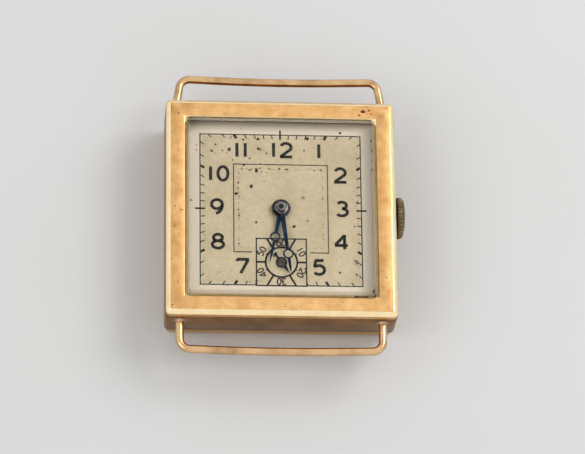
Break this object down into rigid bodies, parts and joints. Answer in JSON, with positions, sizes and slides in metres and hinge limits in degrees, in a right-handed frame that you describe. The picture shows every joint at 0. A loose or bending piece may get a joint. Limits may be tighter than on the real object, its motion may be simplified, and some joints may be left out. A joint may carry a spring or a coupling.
{
  "type": "wrist watch",
  "caption": "Square hand-wound wrist watch in a gold snap case with wire lugs, fluted crown, square printed dial, small seconds and a jewelled lever movement.",
  "frame": {"origin": "centre of the flat back, which the watch lies on", "axes": "+Z out of the dial, +Y towards 12 o'clock, +X towards 3 o'clock and the crown"},
  "size_m": [0.0266, 0.0331, 0.0089],
  "materials": {
    "gold": "satin and polished gold",
    "glass": "polished, clear",
    "dial": "aged silvered champagne",
    "blued_steel": "heat blued",
    "steel": "polished",
    "spring_steel": "tempered",
    "nickel": "grained nickel plate",
    "brass": "gilt",
    "ruby": "polished ruby"
  },
  "bodies": {
    "case": {"case_band": "gold", "case_back": "gold", "bezel": "gold", "crystal": "glass", "upper_wire_lug": "gold", "lower_wire_lug": "gold", "crown_tube": "steel", "movement_ring": "brass", "case_screws": "steel", "dial": "dial", "dial_screws": "steel", "setting_bridge": "steel", "keyless_screws": "steel", "main_plate": "nickel", "barrel_bridge": "nickel", "train_bridge": "nickel", "balance_cock": "nickel", "pallet_bridge": "nickel", "bridge_screws": "steel", "plate_jewels": "ruby", "bridge_jewels": "ruby", "crown_wheel_screw": "steel", "click_spring": "spring_steel", "hairspring_stud": "steel"},
    "winding": {"winding_pinion": "steel"},
    "stem": {"winding_stem": "steel", "crown": "gold"},
    "clutch": {"sliding_pinion": "steel"},
    "setting_lever": {"setting_lever": "steel"},
    "yoke": {"yoke": "steel"},
    "crown_wheel": {"crown_wheel": "steel"},
    "ratchet": {"ratchet_wheel": "steel", "ratchet_screw": "steel", "barrel_arbor": "steel"},
    "click": {"click": "steel"},
    "barrel": {"barrel_drum": "brass", "barrel_cover": "brass", "mainspring": "spring_steel"},
    "centre": {"centre_wheel": "brass", "centre_pinion": "steel"},
    "third": {"third_wheel": "brass", "third_pinion": "steel"},
    "seconds": {"fourth_wheel": "brass", "fourth_pinion": "steel", "seconds_hand": "blued_steel"},
    "escape": {"escape_wheel": "steel", "escape_pinion": "steel"},
    "pallets": {"pallet_fork": "steel", "pallet_stones": "ruby"},
    "balance": {"balance_wheel": "brass", "balance_staff": "steel", "hairspring": "spring_steel"},
    "regulator": {"regulator": "blued_steel"},
    "minute": {"cannon_pinion": "steel", "minute_hand": "blued_steel"},
    "minute_wheel": {"minute_wheel": "brass"},
    "hour": {"hour_wheel": "brass", "hour_hand": "blued_steel"},
    "setting_wheel": {"setting_wheel": "brass"}
  },
  "joints": [
    {"name": "crown_turn", "type": "hinge", "parent": "case", "child": "winding", "pos_m": [0, 0, 0.0049], "axis": [1, 0, 0], "continuous": true},
    {"name": "crown_pull", "type": "slide", "parent": "winding", "child": "stem", "axis": [1, 0, 0], "range_m": [0, 0.0005]},
    {"name": "clutch_slide", "type": "slide", "parent": "winding", "child": "clutch", "axis": [1, 0, 0], "range_m": [-0.0006, 0]},
    {"name": "setting_lever_turn", "type": "hinge", "parent": "case", "child": "setting_lever", "pos_m": [0.00775, 0.0028, 0.0057], "axis": [0, 0, 1], "range_deg": [0, 10.94]},
    {"name": "yoke_turn", "type": "hinge", "parent": "case", "child": "yoke", "pos_m": [0.00585, 0.0033, 0.0057], "axis": [0, 0, 1], "range_deg": [-11.03, 0]},
    {"name": "crown_wheel_turn", "type": "hinge", "parent": "case", "child": "crown_wheel", "pos_m": [0.00658, 0, 0.00222], "axis": [0, 0, 1], "continuous": true},
    {"name": "ratchet_turn", "type": "hinge", "parent": "case", "child": "ratchet", "pos_m": [0.00221, 0.00475, 0.00222], "axis": [0, 0, 1], "continuous": true},
    {"name": "click_turn", "type": "hinge", "parent": "case", "child": "click", "pos_m": [-0.00167, 0.00699, 0.00222], "axis": [0, 0, 1], "range_deg": [-12, 0], "stiffness_Nm_per_rad": 0.00000001, "deforming": ["click_spring"]},
    {"name": "seconds_turn", "type": "hinge", "parent": "case", "child": "seconds", "pos_m": [0, -0.00625, 0.00697], "axis": [0, 0, -1], "continuous": true},
    {"name": "third_turn", "type": "hinge", "parent": "case", "child": "third", "pos_m": [0.0027, -0.00358, 0.00329], "axis": [0, 0, -1], "continuous": true},
    {"name": "centre_turn", "type": "hinge", "parent": "case", "child": "centre", "pos_m": [0, 0, 0.00459], "axis": [0, 0, -1], "continuous": true},
    {"name": "barrel_turn", "type": "hinge", "parent": "case", "child": "barrel", "pos_m": [0.00221, 0.00475, 0.0031], "axis": [0, 0, -1], "continuous": true},
    {"name": "escape_turn", "type": "hinge", "parent": "case", "child": "escape", "pos_m": [-0.00285, -0.0046, 0.0042], "axis": [0, 0, -1], "continuous": true},
    {"name": "pallet_swing", "type": "hinge", "parent": "case", "child": "pallets", "pos_m": [-0.00394, -0.0026, 0.0042], "axis": [0, 0, 1], "range_deg": [-5, 5]},
    {"name": "balance_swing", "type": "hinge", "parent": "case", "child": "balance", "pos_m": [-0.00519, -0.00031, 0.00351], "axis": [0, 0, 1], "range_deg": [-270, 270], "stiffness_Nm_per_rad": 0.000000077, "deforming": ["hairspring"]},
    {"name": "regulator_turn", "type": "hinge", "parent": "case", "child": "regulator", "pos_m": [-0.00519, -0.00031, 0.0022], "axis": [0, 0, 1], "range_deg": [-15, 15]},
    {"name": "minute_turn", "type": "hinge", "parent": "case", "child": "minute", "pos_m": [0, 0, 0.00747], "axis": [0, 0, -1], "continuous": true},
    {"name": "minute_wheel_turn", "type": "hinge", "parent": "case", "child": "minute_wheel", "pos_m": [0.00207, -0.0012, 0.0057], "axis": [0, 0, -1], "continuous": true},
    {"name": "hour_turn", "type": "hinge", "parent": "case", "child": "hour", "pos_m": [0, 0, 0.00719], "axis": [0, 0, -1], "continuous": true},
    {"name": "setting_wheel_turn", "type": "hinge", "parent": "case", "child": "setting_wheel", "pos_m": [0.0047, -0.00024, 0.0057], "axis": [0, 0, -1], "continuous": true}
  ],
  "couplings": [
    {"joint": "clutch_slide", "follows": "crown_pull", "ratio": -1.2},
    {"joint": "setting_lever_turn", "follows": "crown_pull", "rad_per_m": 380.23},
    {"joint": "yoke_turn", "follows": "crown_pull", "rad_per_m": -383.39},
    {"joint": "crown_wheel_turn", "follows": "crown_turn", "ratio": 0.9375},
    {"joint": "ratchet_turn", "follows": "crown_turn", "ratio": -0.78125},
    {"joint": "third_turn", "follows": "seconds_turn", "ratio": -0.13333},
    {"joint": "centre_turn", "follows": "seconds_turn", "ratio": 0.016667},
    {"joint": "barrel_turn", "follows": "seconds_turn", "ratio": -0.002381},
    {"joint": "escape_turn", "follows": "seconds_turn", "ratio": -10},
    {"joint": "minute_wheel_turn", "follows": "minute_turn", "ratio": -0.33333},
    {"joint": "hour_turn", "follows": "minute_turn", "ratio": 0.083333},
    {"joint": "setting_wheel_turn", "follows": "minute_turn", "ratio": 0.6}
  ]
}
